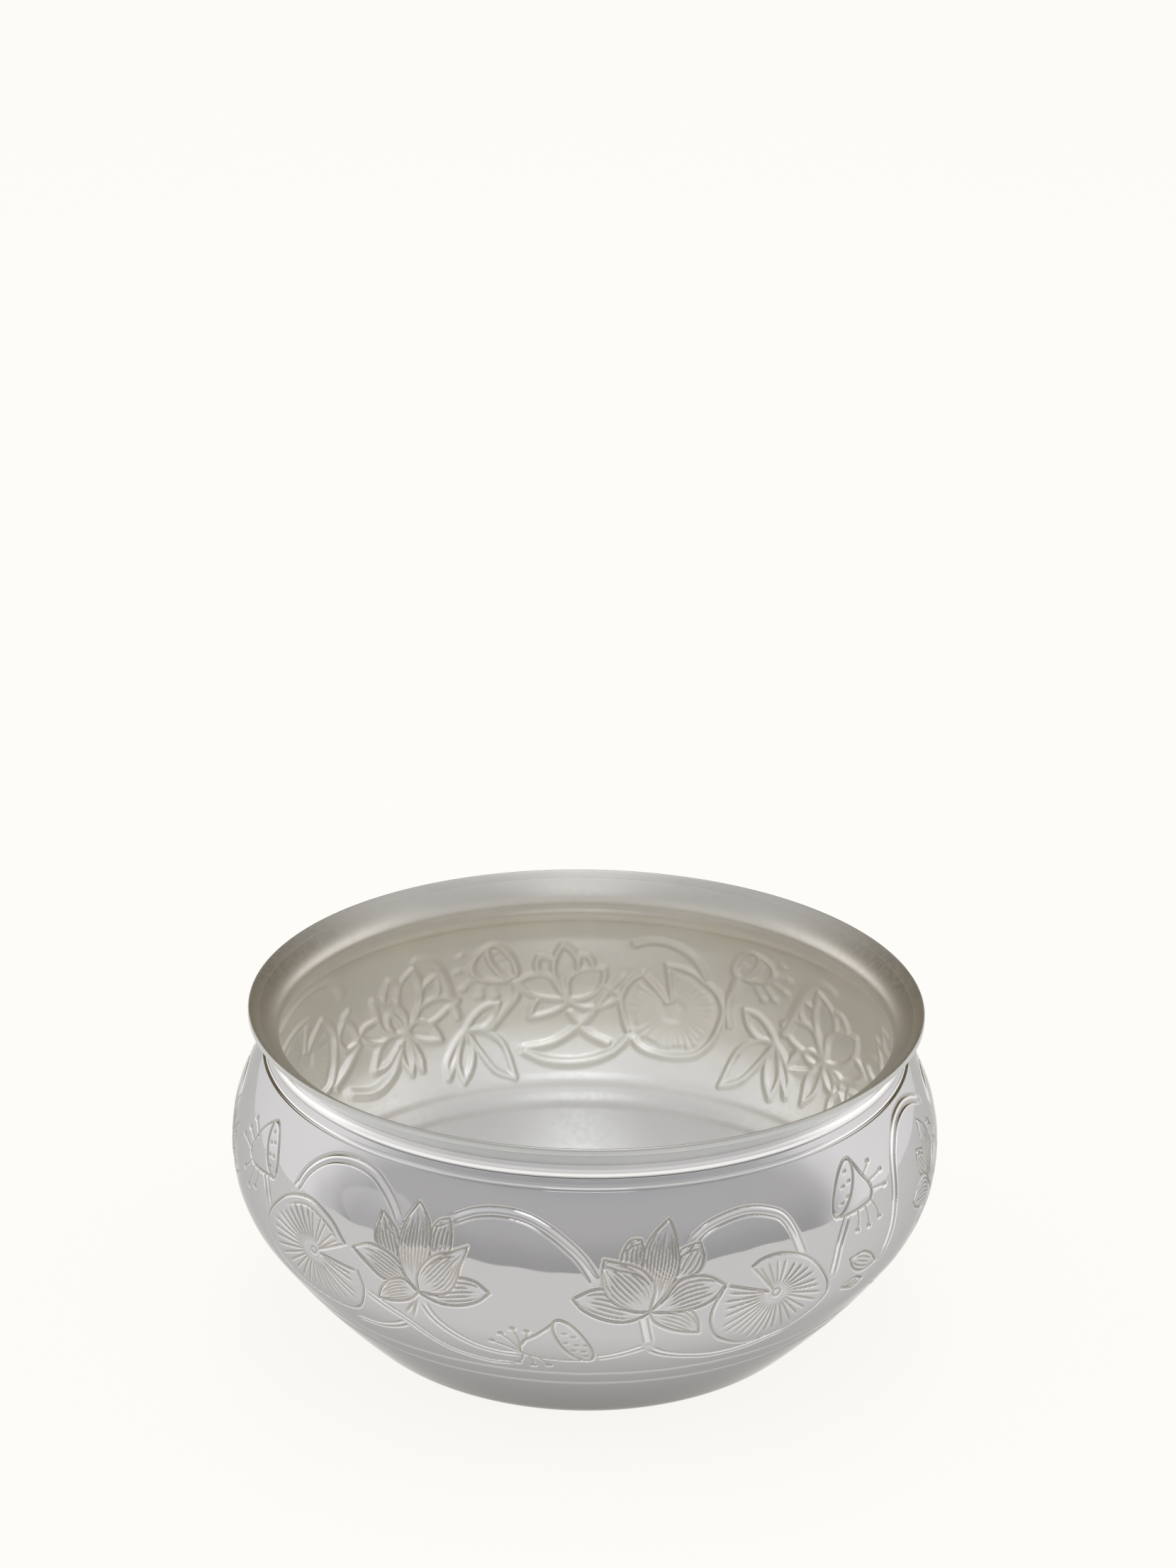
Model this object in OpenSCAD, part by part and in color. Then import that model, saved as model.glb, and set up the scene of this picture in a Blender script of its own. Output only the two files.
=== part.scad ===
// Low round water pot of polished sheet metal.
// A raised body with a flat base carries a flared mouth collar. The two meet edge to edge
// in a soldered seam at the neck, a ring of wire covers that seam outside, and a rounded
// wire stiffens the edge of the mouth. The origin is the centre of the base, +Z is up and
// sizes are in millimetres. Every piece is turned about the Z axis.

/* [Body] */
// Greatest width of the belly
body_d = 120; // [114:1:122]
// Height of the widest line above the base
belly_z = 33.6; // [32:0.2:36]
// Radius of the belly's outline below the widest line
belly_arc = 22; // [20:0.2:24]
// How far the belly turns from upright before the flank begins, in degrees
flank_angle = 35; // [32:1:37]
// Radius of the long flank's outline
flank_arc = 136; // [110:1:160]
// Radius of the heel between the flank and the flat base
heel_arc = 11.2; // [8:0.2:14]
// Thickness of the sheet
sheet = 0.9; // [0.7:0.1:1.2]

/* [Neck and mouth] */
// Height of the whole pot
pot_h = 58; // [57:0.2:60]
// Height of the soldered seam between the body and the collar
seam_z = 52.3; // [51.5:0.1:53]
// Width of the neck, outside, at the seam
neck_d = 104; // [103:0.2:105]
// Width of the mouth over its edge
mouth_d = 113.4; // [111:0.2:115]
// Radius of the collar's flare
flare_arc = 19; // [12:1:30]
// Diameter of the wire that the neck ring is made from
ring_wire_d = 2.3; // [1.8:0.1:2.6]
// Width of the wire along the edge of the mouth
rim_w = 1.4; // [1.2:0.1:1.8]
// Height of the wire along the edge of the mouth
rim_h = 1; // [0.8:0.1:1.2]

/* [Chased border lines] */
// Height of the line under the neck ring
neck_line_z = 50.1; // [49:0.1:50.3]
// Heights of the two lines below the chased band
flank_line_z = [16.7, 13.6];
// Radius of the round-nosed tool that sinks the lines
line_tool_r = 0.5; // [0.3:0.1:0.8]
// Depth of the lines
line_depth = 0.22; // [0.1:0.02:0.3]

/* [Hidden] */
$fn = 96;
ARC_STEPS = 14; // straight steps along each arc of an outline

body_r = body_d/2;
neck_r = neck_d/2;
mouth_r = mouth_d/2;
rim_z = pot_h - rim_h;    // top edge of the collar, where the rim wire sits
rim_corner = rim_h*0.45;  // rounding of the rim wire's top edges
ring_out = ring_wire_d*0.3; // how far the ring wire's centre stands outside the seam

// Shoulder: upright at the widest line, and it passes through the seam
shoulder_rise = seam_z - belly_z;
shoulder_in = body_r - neck_r;
shoulder_arc = (shoulder_rise^2 + shoulder_in^2)/(2*shoulder_in);
shoulder_c = [body_r - shoulder_arc, belly_z];

// Belly, flank and heel: each arc's centre lies on the line of the joint before it
belly_c = [body_r - belly_arc, belly_z];
flank_c = belly_c - (flank_arc - belly_arc)*[cos(flank_angle), -sin(flank_angle)];
heel_angle = asin((flank_c.y - heel_arc)/(flank_arc - heel_arc));
heel_c = flank_c + (flank_arc - heel_arc)*[cos(heel_angle), -sin(heel_angle)];

// Collar: an arc of flare_arc, hollow side out, from the seam to the rim wire
chord = [mouth_r - neck_r, rim_z - seam_z];
chord_mid = [neck_r, seam_z] + chord/2;
chord_out = [chord.y, -chord.x]/norm(chord);
flare_c = chord_mid + sqrt(flare_arc^2 - norm(chord)^2/4)*chord_out;

// Points along an arc about c, from angle a to angle b
function arc(c, r, a, b) =
    [for (i = [0:ARC_STEPS]) c + r*[cos(a + (b - a)*i/ARC_STEPS), sin(a + (b - a)*i/ARC_STEPS)]];

// The body's outline from the seam down to the base, moved inwards by t
function body_outline(t) = concat(
    arc(shoulder_c, shoulder_arc - t, asin(shoulder_rise/(shoulder_arc - t)), 0),
    arc(belly_c, belly_arc - t, 0, -flank_angle),
    arc(flank_c, flank_arc - t, -flank_angle, -heel_angle),
    arc(heel_c, heel_arc - t, -heel_angle, -90));

// The collar's outline from the seam up to the rim wire, moved inwards by t
function collar_outline(t) = arc(flare_c, flare_arc + t,
    180 - asin((seam_z - flare_c.y)/(flare_arc + t)),
    180 - asin((rim_z - flare_c.y)/(flare_arc + t)));

// Radius of the body's outside at height z on the shoulder and on the flank
function shoulder_r(z) = shoulder_c.x + sqrt(shoulder_arc^2 - (z - shoulder_c.y)^2);
function flank_r(z) = flank_c.x + sqrt(flank_arc^2 - (z - flank_c.y)^2);

function reversed(list) = [for (i = [len(list) - 1:-1:0]) list[i]];

// One chased line: a round-nosed groove whose bottom is line_depth under the surface
module line_groove(r, z, centre) {
    direction = ([r, z] - centre)/norm([r, z] - centre);
    translate([r, z] + (line_tool_r - line_depth)*direction) circle(r = line_tool_r, $fn = 24);
}

module body_section() {
    difference() {
        polygon(concat(body_outline(0), [[0, 0], [0, sheet]], reversed(body_outline(sheet))));
        line_groove(shoulder_r(neck_line_z), neck_line_z, shoulder_c);
        for (z = flank_line_z) line_groove(flank_r(z), z, flank_c);
    }
}

module collar_section() {
    polygon(concat(collar_outline(0), reversed(collar_outline(sheet))));
}

// Everything inside the outer surfaces of the body and the collar
module solid_section() {
    polygon(concat(reversed(body_outline(0)), collar_outline(0), [[0, rim_z], [0, 0]]));
}

// Bowl raised from one disc, with its flat base and the chased border lines
module chased_body() {
    color([0.80, 0.79, 0.77]) rotate_extrude() body_section();
}

// Flared collar of the mouth
module mouth_collar() {
    color([0.86, 0.85, 0.83]) rotate_extrude() collar_section();
}

// Wire ring in the crease of the neck, filed to fit over the seam
module neck_ring() {
    color([0.74, 0.74, 0.73]) rotate_extrude() difference() {
        translate([neck_r + ring_out, seam_z]) circle(d = ring_wire_d, $fn = 48);
        solid_section();
    }
}

// Wire along the edge of the mouth: flat below, rounded above
module rim_wire() {
    color([0.90, 0.89, 0.87]) rotate_extrude() translate([mouth_r - rim_w, rim_z]) {
        square([rim_w, rim_h - rim_corner]);
        translate([rim_corner, 0]) square([rim_w - 2*rim_corner, rim_h]);
        for (x = [rim_corner, rim_w - rim_corner])
            translate([x, rim_h - rim_corner]) circle(r = rim_corner, $fn = 32);
    }
}

chased_body();
mouth_collar();
neck_ring();
rim_wire();
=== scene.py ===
"""Looks of the low silver lota: a raised bowl with a chased band of lotus plants, a flared
collar, a neck ring and a rim wire. Places on the wall are given as (degrees round the pot
from the -Y side, millimetres of arc above the widest line)."""
import math

import bpy
import numpy as np
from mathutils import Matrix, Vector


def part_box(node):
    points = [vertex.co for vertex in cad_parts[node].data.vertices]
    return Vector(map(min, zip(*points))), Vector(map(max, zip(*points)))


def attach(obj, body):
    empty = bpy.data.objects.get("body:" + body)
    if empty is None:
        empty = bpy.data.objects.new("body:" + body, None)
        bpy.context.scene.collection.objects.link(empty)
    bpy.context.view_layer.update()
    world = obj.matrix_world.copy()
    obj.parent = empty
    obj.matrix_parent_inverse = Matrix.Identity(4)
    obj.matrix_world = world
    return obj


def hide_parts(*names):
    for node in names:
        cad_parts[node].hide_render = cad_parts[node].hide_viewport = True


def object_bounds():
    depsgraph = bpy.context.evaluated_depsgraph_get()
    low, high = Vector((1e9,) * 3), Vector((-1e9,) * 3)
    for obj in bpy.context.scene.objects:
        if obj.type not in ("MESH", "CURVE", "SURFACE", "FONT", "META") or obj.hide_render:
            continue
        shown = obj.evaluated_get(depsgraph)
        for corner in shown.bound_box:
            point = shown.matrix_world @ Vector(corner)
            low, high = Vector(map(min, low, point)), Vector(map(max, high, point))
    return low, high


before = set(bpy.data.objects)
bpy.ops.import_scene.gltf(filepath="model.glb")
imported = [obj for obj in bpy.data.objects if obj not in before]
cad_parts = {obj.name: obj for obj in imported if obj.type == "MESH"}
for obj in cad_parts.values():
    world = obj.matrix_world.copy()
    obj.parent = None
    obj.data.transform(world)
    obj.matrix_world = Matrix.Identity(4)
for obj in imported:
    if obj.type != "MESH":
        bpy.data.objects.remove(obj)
cad_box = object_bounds()

MM = 0.001

# ---------------------------------------------------------------- sizes, in millimetres
BODY_R = (cad_box[1].x - cad_box[0].x)/2/MM
POT_H = cad_box[1].z/MM
SEAM_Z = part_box("chased_body")[1].z/MM
RIM_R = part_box("rim_wire")[1].x/MM
RIM_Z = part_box("mouth_collar")[1].z/MM  # top of the collar, where the rim wire sits
NECK_R = 52.0  # outside of the neck at the seam
BELLY_Z = 33.6  # height of the widest line
SHEET = 0.9  # thickness of the sheet
# Radii of the outline's arcs, and the turn from upright at which the flank begins
BELLY_ARC = 22.0
FLANK_TURN = math.radians(35)
FLANK_ARC = 136.0
HEEL_ARC = 11.2
FLARE_ARC = 19.0
# The neck ring's wire and the rounding of the lip
RING_WIRE_R = 1.15
RING_OUT = 0.69  # how far the ring wire's centre stands outside the neck
RIM_CORNER = 0.35

# Shoulder: upright at the widest line, and through the seam
RISE = SEAM_Z - BELLY_Z
SHOULDER_ARC = (RISE**2 + (BODY_R - NECK_R)**2)/(2*(BODY_R - NECK_R))
SHOULDER_C = (BODY_R - SHOULDER_ARC, BELLY_Z)
BELLY_C = (BODY_R - BELLY_ARC, BELLY_Z)
FLANK_C = (BELLY_C[0] - (FLANK_ARC - BELLY_ARC)*math.cos(FLANK_TURN),
           BELLY_C[1] + (FLANK_ARC - BELLY_ARC)*math.sin(FLANK_TURN))
HEEL_TURN = math.asin((FLANK_C[1] - HEEL_ARC)/(FLANK_ARC - HEEL_ARC))
HEEL_C = (FLANK_C[0] + (FLANK_ARC - HEEL_ARC)*math.cos(HEEL_TURN), HEEL_ARC)

# Arc lengths down from the widest line to the end of the belly, the flank and the heel
BELLY_END = BELLY_ARC*FLANK_TURN
FLANK_END = BELLY_END + FLANK_ARC*(HEEL_TURN - FLANK_TURN)
HEEL_END = FLANK_END + HEEL_ARC*(math.pi/2 - HEEL_TURN)
OUTER_TOP = SHOULDER_ARC*math.asin(RISE/SHOULDER_ARC)
INNER_TOP = SHOULDER_ARC*math.asin(RISE/(SHOULDER_ARC - SHEET))

# Rounding inside the neck: its sharpness, how far it is set inwards and over what height
NECK_EASE = 0.27
NECK_FILL = 1.7
NECK_REACH = 4.2
CLOSE = 0.04  # gap between an edge and the row of points that keeps it crisp
TURNED_COLUMNS = 720  # points round the turned pieces

# The fine grid of the chased band: its columns, its rows from the seam down to BAND_LOW
COLUMNS = 2400
STEP_U = 2*math.pi*BODY_R/COLUMNS
STEP_S = 0.16
BAND_LOW = -24.6
DEGREE = STEP_U*COLUMNS/360  # arc length of one degree at the widest line
BORDER_LINES = ((17.85, 0.9), (-18.7, 0.35), (-22.7, 0.35))  # place and the strength of its painted glint

# Tool lines: the usual cut, the soft ridge that it raises inside and the painted glint beside it
LINE_DEPTH = 0.28
LINE_HALF = 0.33
LINE_RIDGE = 0.4
RIDGE_HALF = 1.15
REACH = 1.3  # how far from a line its traces go
LIT_RIGHT, LIT_DOWN = 0.35, 0.94  # the side of a line where a glint is painted, down and a little right
OUTLINE_POINTS = 120  # points round a lily pad
PETAL_POINTS = 25  # points along each side of a petal


def wall(s, out):
    """Radius, height and turn of the wall at arc length s, moved outwards by out."""
    s = np.asarray(s, float)
    down = -s
    arcs = ((s >= 0, SHOULDER_C, SHOULDER_ARC, s/SHOULDER_ARC),
            ((down > 0) & (down <= BELLY_END), BELLY_C, BELLY_ARC, -down/BELLY_ARC),
            ((down > BELLY_END) & (down <= FLANK_END), FLANK_C, FLANK_ARC,
             -FLANK_TURN - (down - BELLY_END)/FLANK_ARC),
            (down > FLANK_END, HEEL_C, HEEL_ARC, -HEEL_TURN - (down - FLANK_END)/HEEL_ARC))
    r = np.zeros(s.shape)
    z = np.zeros(s.shape)
    turn = np.zeros(s.shape)
    for where, centre, radius, angle in arcs:
        r = np.where(where, centre[0] + radius*np.cos(angle), r)
        z = np.where(where, centre[1] + radius*np.sin(angle), z)
        turn = np.where(where, angle, turn)
    return r + out*np.cos(turn), z + out*np.sin(turn)


def collar_arc():
    """Centre of the collar's flare, which is hollow towards the outside."""
    chord = np.array([RIM_R - NECK_R, RIM_Z - SEAM_Z])
    out = np.array([chord[1], -chord[0]])/np.linalg.norm(chord)
    return np.array([NECK_R, SEAM_Z]) + chord/2 + math.sqrt(FLARE_ARC**2 - chord @ chord/4)*out


def plain_inside(z):
    """Radius of the body's inside at height z on the shoulder, without any rounding."""
    return SHOULDER_C[0] + np.sqrt(np.maximum((SHOULDER_ARC - SHEET)**2 - (z - BELLY_Z)**2, 0))


def neck_ease(z):
    """How much further out than plain_inside the rounded inside of the neck lies. The rounding
    runs from the shoulder into the collar, set inwards so that the sheet isn't cut through,
    and it fades in between 12 and 8 mm under the seam."""
    centre = collar_arc()
    body = plain_inside(z)
    lip = centre[0] - np.sqrt(np.maximum((FLARE_ARC + SHEET)**2 - (z - centre[1])**2, 0))
    rounded = np.logaddexp(body*NECK_EASE, lip*NECK_EASE)/NECK_EASE
    filled = NECK_FILL*np.exp(-((z - SEAM_Z)/NECK_REACH)**2)
    near = np.clip((z - SEAM_Z)/4 + 3, 0, 1)
    return near*near*(3 - 2*near)*(rounded - filled - body)


def collar_inside(z):
    """Radius of the collar's inside at height z."""
    return float(plain_inside(z) + neck_ease(z))


def under_ring(r, z):
    """Keeps the outside clear of the rounded inside, where the neck ring hides it."""
    near = np.clip(1 - np.abs(z - SEAM_Z)/1.1, 0, 1)
    return r + SHEET*near


# ---------------------------------------------------------------- mesh helpers
def mesh_from(name, verts, quads, skins, polygons=()):
    """A smooth-shaded mesh object, from vertices in millimetres. skins holds the number of
    each face's material, first the quads and then the polygons."""
    mesh = bpy.data.meshes.new(name)
    faces = [np.asarray(quads, np.int32).ravel()] + [np.asarray(p, np.int32) for p in polygons]
    sizes = np.concatenate([np.full(len(quads), 4), [len(p) for p in polygons]]).astype(np.int32)
    starts = np.concatenate([[0], np.cumsum(sizes)[:-1]]).astype(np.int32)
    loops = np.concatenate(faces)
    mesh.vertices.add(len(verts))
    mesh.vertices.foreach_set("co", (np.asarray(verts, np.float32)*MM).ravel())
    mesh.loops.add(len(loops))
    mesh.loops.foreach_set("vertex_index", loops)
    mesh.polygons.add(len(sizes))
    mesh.polygons.foreach_set("loop_start", starts)
    mesh.polygons.foreach_set("use_smooth", np.ones(len(sizes), bool))
    mesh.polygons.foreach_set("material_index", np.asarray(skins, np.int32))
    mesh.update(calc_edges=True)
    piece = bpy.data.objects.new(name, mesh)
    bpy.context.scene.collection.objects.link(piece)
    return piece


def rows_to_verts(r, z):
    """Vertices of rings: r and z are (rows, columns) arrays."""
    angle = np.arange(r.shape[1])*2*math.pi/r.shape[1]
    return np.stack([r*np.sin(angle), -r*np.cos(angle), z + 0*angle], -1).reshape(-1, 3)


def ring_quads(first, second, columns):
    """Quads between two rings that start at vertex numbers first and second."""
    i = np.arange(columns)
    j = (i + 1) % columns
    return np.stack([first + i, first + j, second + j, second + i], 1)


def turned(name, outline, row_skins):
    """A closed solid ring, turned from a closed outline of (r, z) points, anticlockwise, with
    the number of a material for each of the outline's sides."""
    columns = TURNED_COLUMNS
    r = np.array([p[0] for p in outline])[:, None]*np.ones(columns)
    z = np.array([p[1] for p in outline])[:, None]*np.ones(columns)
    rows = len(outline)
    quads = [ring_quads(k*columns, (k + 1) % rows*columns, columns) for k in range(rows)]
    skins = np.repeat(row_skins, columns)
    return mesh_from(name, rows_to_verts(r, z), np.concatenate(quads), skins)


def arc(centre, radius, start, end, steps):
    """Points along an arc of an outline, with the angles in radians."""
    return [(centre[0] + radius*math.cos(start + (end - start)*i/steps),
             centre[1] + radius*math.sin(start + (end - start)*i/steps)) for i in range(steps + 1)]


# ---------------------------------------------------------------- chased pattern
class Chasing:
    """What the chaser's tools do to the wall, on the grid of the outside's rows and columns.
    Paths are in millimetres round the pot and up the wall. sunk is the depth outside, swelled
    the height of the ridges inside, and marks is above 0 where the metal is matt and darkened
    with painted shade, and below 0 where a glint is painted."""

    def __init__(self, rows_s):
        self.rows_s = rows_s
        self.sunk = np.zeros((len(rows_s), COLUMNS))
        self.swelled = np.zeros((len(rows_s), COLUMNS))
        self.marks = np.zeros((len(rows_s), COLUMNS))

    def window(self, path, margin):
        """Rows, columns and the place in millimetres of the grid around a path."""
        low, high = path.min(0) - margin, path.max(0) + margin
        top = max(0, int((self.rows_s[0] - high[1])/STEP_S))
        bottom = min(len(self.rows_s), int((self.rows_s[0] - low[1])/STEP_S) + 2)
        columns = np.arange(int(low[0]/STEP_U) - 1, int(high[0]/STEP_U) + 2)
        u, s = np.meshgrid(columns*STEP_U, self.rows_s[top:bottom])
        return np.ix_(np.arange(top, bottom), columns % COLUMNS), u, s

    def nearest(self, path, margin):
        """The grid around a path, with each point's distance to it, its share of the path's
        length and how far it lies on the lit side, which is down and to the right."""
        place, u, s = self.window(path, margin)
        distance = np.full(u.shape, np.inf)
        along = np.zeros(u.shape)
        lit = np.zeros(u.shape)
        steps = len(path) - 1
        for k in range(steps):
            (u0, s0), (du, ds) = path[k], path[k + 1] - path[k]
            share = ((u - u0)*du + (s - s0)*ds)/(du*du + ds*ds + 1e-9)
            share = np.clip(share, 0, 1)
            right = u - u0 - share*du
            up = s - s0 - share*ds
            away = np.hypot(right, up)
            closer = away < distance
            along = np.where(closer, (k + share)/steps, along)
            lit = np.where(closer, LIT_RIGHT*right - LIT_DOWN*up, lit)
            distance = np.minimum(away, distance)
        return place, distance, along, lit

    def add(self, place, cut, mark, rise):
        """Adds a tool's cut, its mark (matt with painted shade above 0, a painted glint below) and its
        ridge inside.
        """
        self.sunk[place] = np.maximum(self.sunk[place], cut)
        self.swelled[place] = np.maximum(self.swelled[place], rise)
        old = self.marks[place]
        self.marks[place] = np.where(np.abs(mark) > np.abs(old), mark, old)

    def line(self, path, depth=LINE_DEPTH, half=LINE_HALF, ridge=LINE_RIDGE, fade=0.0, shine=0.8):
        """One V-shaped tool line along a path, matt and darkened with painted shade in its bottom,
        with a painted glint strip on its lit side. It fades out over a share of its length at its ends."""
        place, distance, along, lit = self.nearest(path, REACH)
        strength = 1.0
        if fade:
            strength = np.clip(np.minimum(along, 1 - along)/fade, 0.15, 1)
        profile = strength*np.clip(1 - distance/half, 0, 1)
        mark = np.clip(1.5*profile, 0, 1)
        strip = np.clip(1 - np.abs(distance - half - 0.04)/0.2, 0, 1)
        glint = strength*strip*np.clip(lit/0.2, 0, 1)
        mark = np.where(mark > 0.25, mark, -shine*glint)
        rise = ridge*strength*np.clip(1 - (distance/RIDGE_HALF)**2, 0, 1)**2
        self.add(place, depth*profile, mark, rise)

    def tube(self, path, gap):
        """A stalk with a rounded back between its two lines, gap apart. Its lines are matt and darkened
        with painted shade, with a painted highlight on its back and a painted glint below it.
        """
        place, distance, along, lit = self.nearest(path, gap/2 + REACH)
        edge = distance - gap/2
        round_back = (distance/(gap/2))**2
        profile = np.where(edge < 0, round_back, np.clip(1 - edge/0.28, 0, 1))
        strength = np.clip(np.minimum(along, 1 - along)/0.05, 0.2, 1)
        rim = strength*np.clip(1 - np.abs(edge)/0.28, 0, 1)
        back = np.clip(-edge/0.3, 0, 1)*np.clip(0.5 - lit/0.4, 0, 1)
        below = np.clip(1 - np.abs(edge - 0.34)/0.22, 0, 1)*np.clip(lit/0.2, 0, 1)
        mark = np.where(rim > 0.3, 1.2*rim - 0.2, -0.8*strength*np.maximum(back, below))
        rise = 0.42*strength*np.clip(1 - (distance/(gap/2 + 0.9))**2, 0, 1)**2
        self.add(place, 0.24*strength*profile, mark, rise)

    def clear(self, outline):
        """Smooths away what lies behind a shape, inside its closed outline."""
        place, u, s = self.window(outline, 0.3)
        inside = np.zeros(u.shape, bool)
        for (u0, s0), (u1, s1) in zip(outline, np.roll(outline, -1, 0)):
            if s0 == s1:
                continue
            crosses = (s0 > s) != (s1 > s)
            inside ^= crosses & (u < u0 + (u1 - u0)*(s - s0)/(s1 - s0))
        self.sunk[place] = np.where(inside, 0, self.sunk[place])
        self.marks[place] = np.where(inside, 0, self.marks[place])
        self.swelled[place] = np.where(inside, 0, self.swelled[place])


def eased(field, reach):
    """A map of the wall averaged three times over a square of reach millimetres."""
    for _ in range(3):
        for axis, step, ends in ((0, STEP_S, "edge"), (1, STEP_U, "wrap")):
            half = round(reach/2/step)
            pads = [(0, 0), (0, 0)]
            pads[axis] = (half + 1, half)
            run = np.cumsum(np.pad(field, pads, mode=ends), axis)
            size = field.shape[axis]
            upper = np.take(run, np.arange(size) + 2*half + 1, axis)
            field = (upper - np.take(run, np.arange(size), axis))/(2*half + 1)
    return field


def planished(rows_s):
    """Very shallow hollows that the hammer left all round, in millimetres."""
    u = np.arange(COLUMNS)*2*math.pi/COLUMNS
    s = rows_s[:, None]
    waves = np.sin(19*u + 0.31*s) + np.sin(31*u - 0.22*s + 1) + np.sin(47*u + 0.5*s + 2)
    return 0.008*(3 + waves)


def smooth(points, steps=7):
    """A smooth curve through a few points in (degrees, mm), as points in millimetres."""
    p = np.array(points, float)*(DEGREE, 1)
    p = np.concatenate([2*p[:1] - p[1:2], p, 2*p[-1:] - p[-2:-1]])
    t = np.arange(steps)[:, None]/steps
    curve = []
    for a, b, c, d in zip(p, p[1:], p[2:], p[3:]):
        bend = t*t*(a - 2.5*b + 2*c - d/2) + t**3*(1.5*(b - c) + (d - a)/2)
        curve.append(b + t/2*(c - a) + bend)
    curve.append(p[-2:-1])
    return np.concatenate(curve)


def evenly(path, count):
    """The same path with evenly spaced points."""
    run = np.concatenate([[0], np.cumsum(np.hypot(*np.diff(path, axis=0).T))])
    want = np.linspace(0, run[-1], count)
    return np.stack([np.interp(want, run, path[:, 0]), np.interp(want, run, path[:, 1])], 1)


def petal(work, base, left, tip, right, hatches, lip=()):
    """A petal from its base up its left side to the tip and back down its right side, with
    hatching lines of uneven length between its sides and a turned lip if one is given."""
    left = evenly(smooth([base, *left, tip]), PETAL_POINTS)
    right = evenly(smooth([tip, *right, base]), PETAL_POINTS)
    work.clear(np.concatenate([left, right[1:-1]]))
    right = right[::-1]
    for k in range(hatches):
        share = (k + 1)/(hatches + 1)
        middle = left*(1 - share) + right*share
        start = 4 + (k*5) % 3
        end = PETAL_POINTS - 2 - (k*7) % 4
        work.line(middle[start:end:3], 0.2, 0.25, 0.05, fade=0.25, shine=0.5)
    work.line(left)
    work.line(right)
    if lip:
        work.line(smooth(lip), 0.2, 0.32, 0.15, fade=0.2)


def place_on(centre, points, flip=1, size=1.0, tilt=0.0):
    """Points of a motif, given from its own centre, at their place on the wall."""
    c, s = math.cos(math.radians(tilt)), math.sin(math.radians(tilt))
    out = []
    for du, ds in points:
        u, v = du*DEGREE*flip*size, ds*size
        out.append((centre[0] + (u*c - v*s)/DEGREE, centre[1] + u*s + v*c))
    return out


def stem(work, points, gap=1.2):
    """A stalk along a curve, gap wide, over whatever it crosses."""
    path = evenly(smooth(points), 8*len(points))
    along = np.gradient(path, axis=0)
    across = np.stack([-along[:, 1], along[:, 0]], 1)/np.hypot(*along.T)[:, None]*gap/2
    work.clear(np.concatenate([path + across, (path - across)[::-1]]))
    work.tube(path, gap)


def lily_pad(work, centre, outline, veins, ring=0.7):
    """A round leaf with a notch: outline points run from one side of the notch to the other.
    Each vein is a pair of lines, and a small ring marks the middle."""
    last = OUTLINE_POINTS - 1
    rim = evenly(smooth(outline), OUTLINE_POINTS)
    hub = np.array(centre)*(DEGREE, 1)
    work.clear(np.concatenate([rim, hub[None]]))
    for k in range(veins):
        place = (k + 0.5)/veins*last
        length = 0.86 + 0.05*math.sin(3*k)
        for side in (-1.8, 1.8):
            far = rim[int(np.clip(place + side, 0, last))]
            path = np.array([hub + (far - hub)*share for share in (0.16, 0.4, 0.7, length)])
            work.line(path, 0.2, 0.27, 0.2, fade=0.2)
    circle = [(math.cos(a)*ring, math.sin(a)*ring) for a in np.linspace(0, 2*math.pi, 13)]
    work.line(hub + np.array(circle), 0.15, 0.25, 0.1)
    work.line(rim)
    for end in (rim[0], rim[-1]):
        work.line(np.array([end, end*0.4 + hub*0.6, end*0.12 + hub*0.88]), fade=0.1)


def dot(work, place, width, depth, half, ridge, shine=0.8):
    """A short, wide stroke of the tool at one place."""
    u, s = place[0]*DEGREE, place[1]
    work.line(np.array([[u - width, s], [u + width, s]]), depth, half, ridge, shine=shine)


def seed_pod(work, ends, width, cup, seeds, stamens):
    """A seed pod. ends are the two ends of its oval mouth, and width is half the mouth's
    width. cup is the outline of the cup behind the mouth. Stamens are (root, head)."""
    first, second = np.array(ends)*(DEGREE, 1)
    length = np.hypot(*(second - first))/2
    along = (second - first)/2/length
    across = np.array([-along[1], along[0]])
    turns = np.linspace(0, 2*math.pi, 41)
    oval = (first + second)/2 + length*np.outer(np.cos(turns), along)
    oval = oval + width*np.outer(np.sin(turns), across)
    side = smooth(cup)
    work.clear(side)
    work.line(side)
    work.clear(oval)
    work.line(oval)
    for seed in seeds:
        dot(work, seed, 0.25, 0.14, 0.36, 0.1, shine=0.4)
    for root, head in stamens:
        middle = ((root[0] + head[0])/2 + 0.3, (root[1] + head[1])/2)
        work.line(smooth([root, middle, head]), 0.13, 0.24, 0.15)
        dot(work, head, 0.2, 0.2, 0.5, 0.3)


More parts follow.
